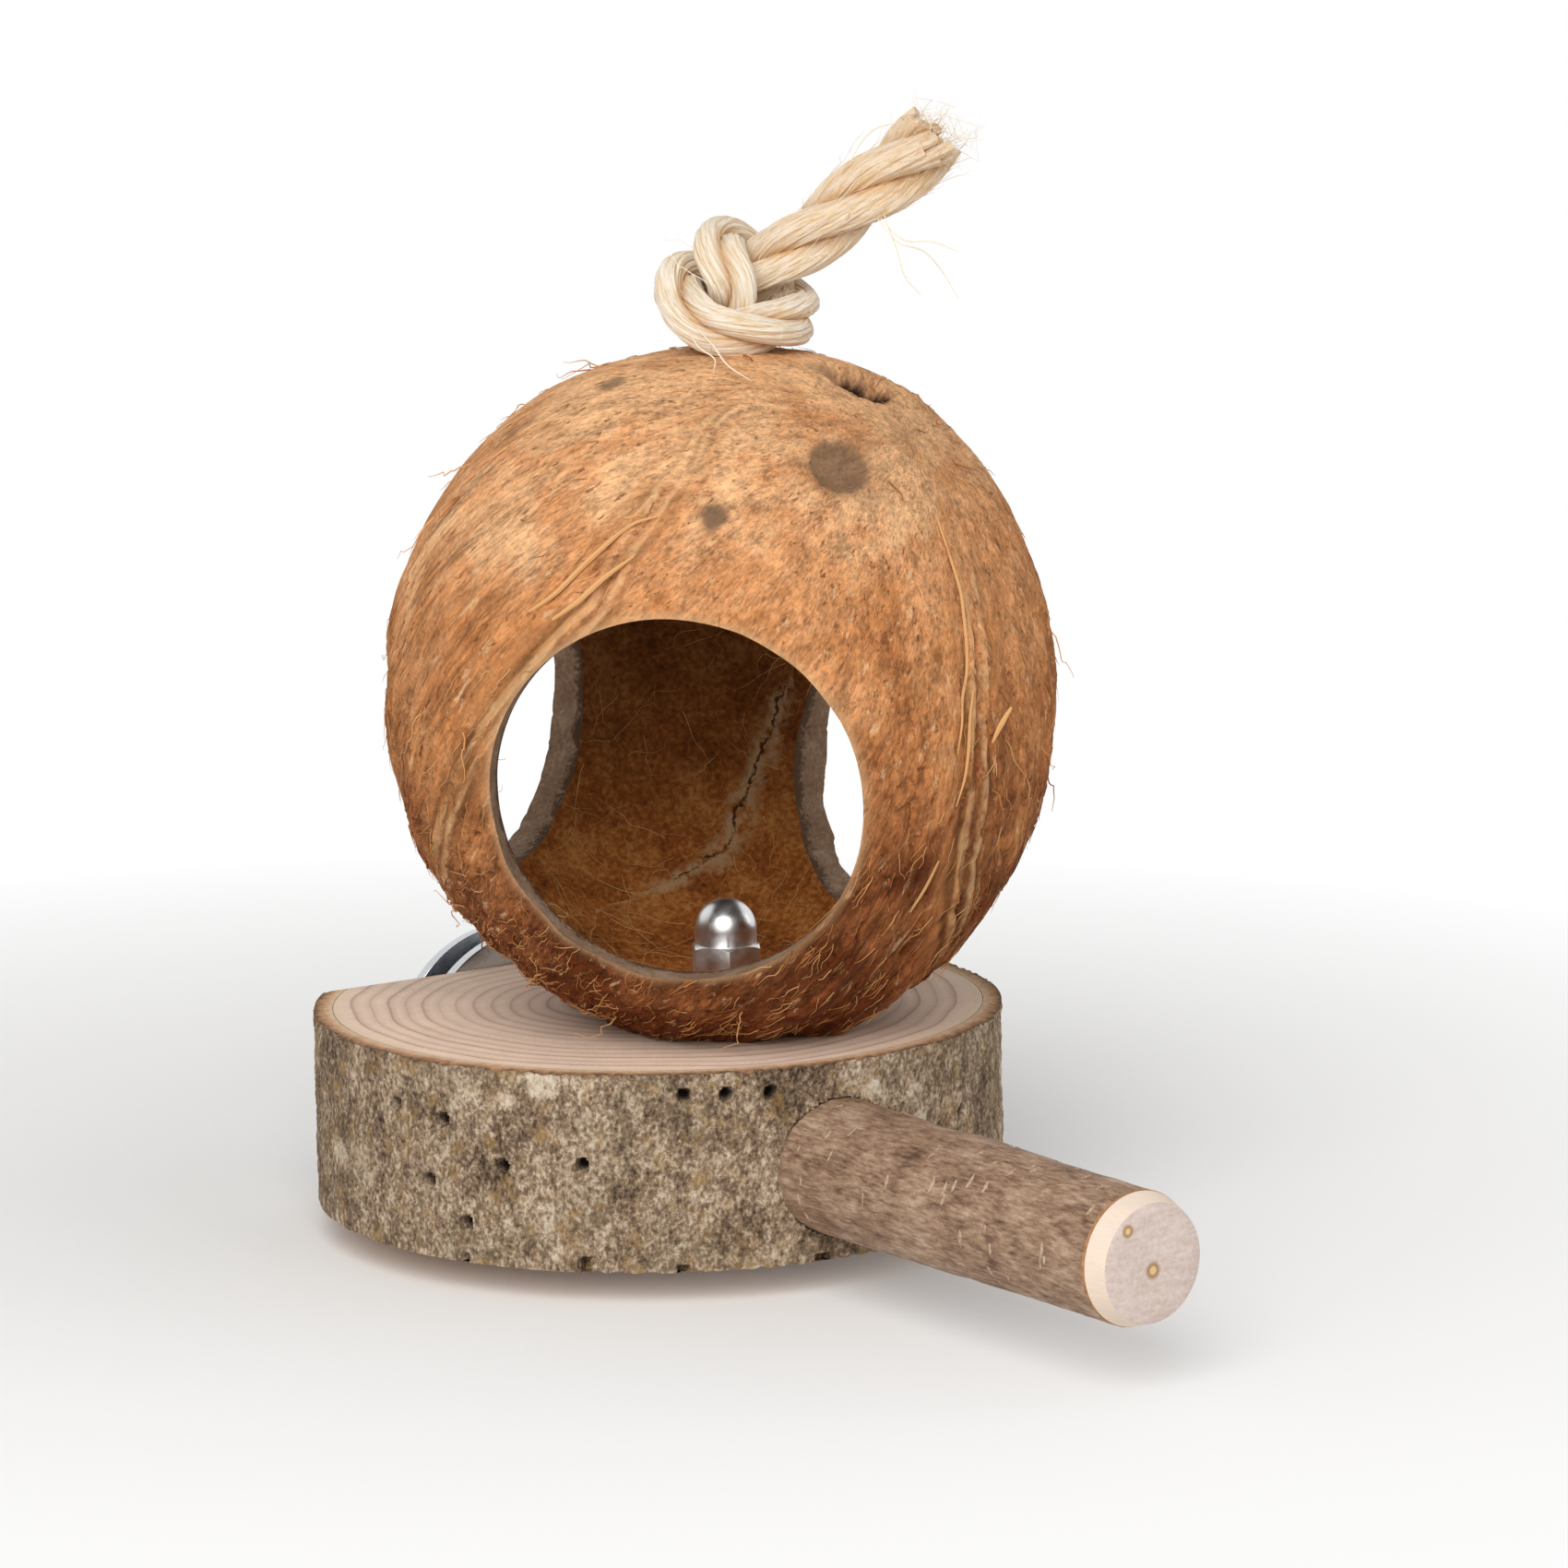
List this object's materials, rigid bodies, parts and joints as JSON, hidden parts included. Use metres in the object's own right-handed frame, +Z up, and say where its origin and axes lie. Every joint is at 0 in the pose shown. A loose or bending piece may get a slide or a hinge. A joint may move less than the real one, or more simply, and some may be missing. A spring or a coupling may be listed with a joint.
{
  "type": "coconut bird house",
  "caption": "Drilled coconut nest bolted to a bark-edged log slice with a stick perch, a knotted rope tail on top and a wing-nut washer clamp at the back.",
  "frame": {"origin": "on the hanger bolt's axis, at the rear face of the front clamp washer, which is the face that presses on what it is clamped to", "axes": "+Z up, +Y out of the board's straight back along the hanger bolt, -Y towards the perch's end"},
  "size_m": [0.108, 0.1926, 0.1761],
  "materials": {
    "coconut_husk": "fibrous matte",
    "sisal": "twisted fibre",
    "sawn_wood": "sanded end grain",
    "log_bark": "rough bark",
    "perch_bark": "smooth satin bark",
    "zinc_steel": "zinc plated",
    "polished_steel": "polished"
  },
  "bodies": {
    "base": {"board_core": "sawn_wood", "board_bark": "log_bark", "perch": "perch_bark", "perch_screw": "zinc_steel", "nest_bolt": "zinc_steel", "nest_washer": "zinc_steel", "nest_cap_nut": "polished_steel", "hanger_bolt": "zinc_steel", "clamp_washer_front": "zinc_steel"},
    "nest": {"coconut_shell": "coconut_husk", "sisal_rope": "sisal"},
    "clamp": {"clamp_washer_rear": "zinc_steel"},
    "wing": {"wing_nut": "zinc_steel"}
  },
  "joints": [
    {"name": "shell_swivel", "type": "hinge", "parent": "base", "child": "nest", "pos_m": [0, -0.0591, 0.0153], "axis": [0, 0, 1], "continuous": true},
    {"name": "clamp_slide", "type": "slide", "parent": "base", "child": "clamp", "axis": [0, 1, 0], "range_m": [-0.0044, 0.0101]},
    {"name": "wing_nut_turn", "type": "hinge", "parent": "clamp", "child": "wing", "pos_m": [0, 0.0071, 0], "axis": [0, 1, 0], "range_deg": [-1548, 3600]}
  ],
  "couplings": [
    {"joint": "clamp_slide", "follows": "wing_nut_turn", "m_per_rad": 0.00015915}
  ]
}
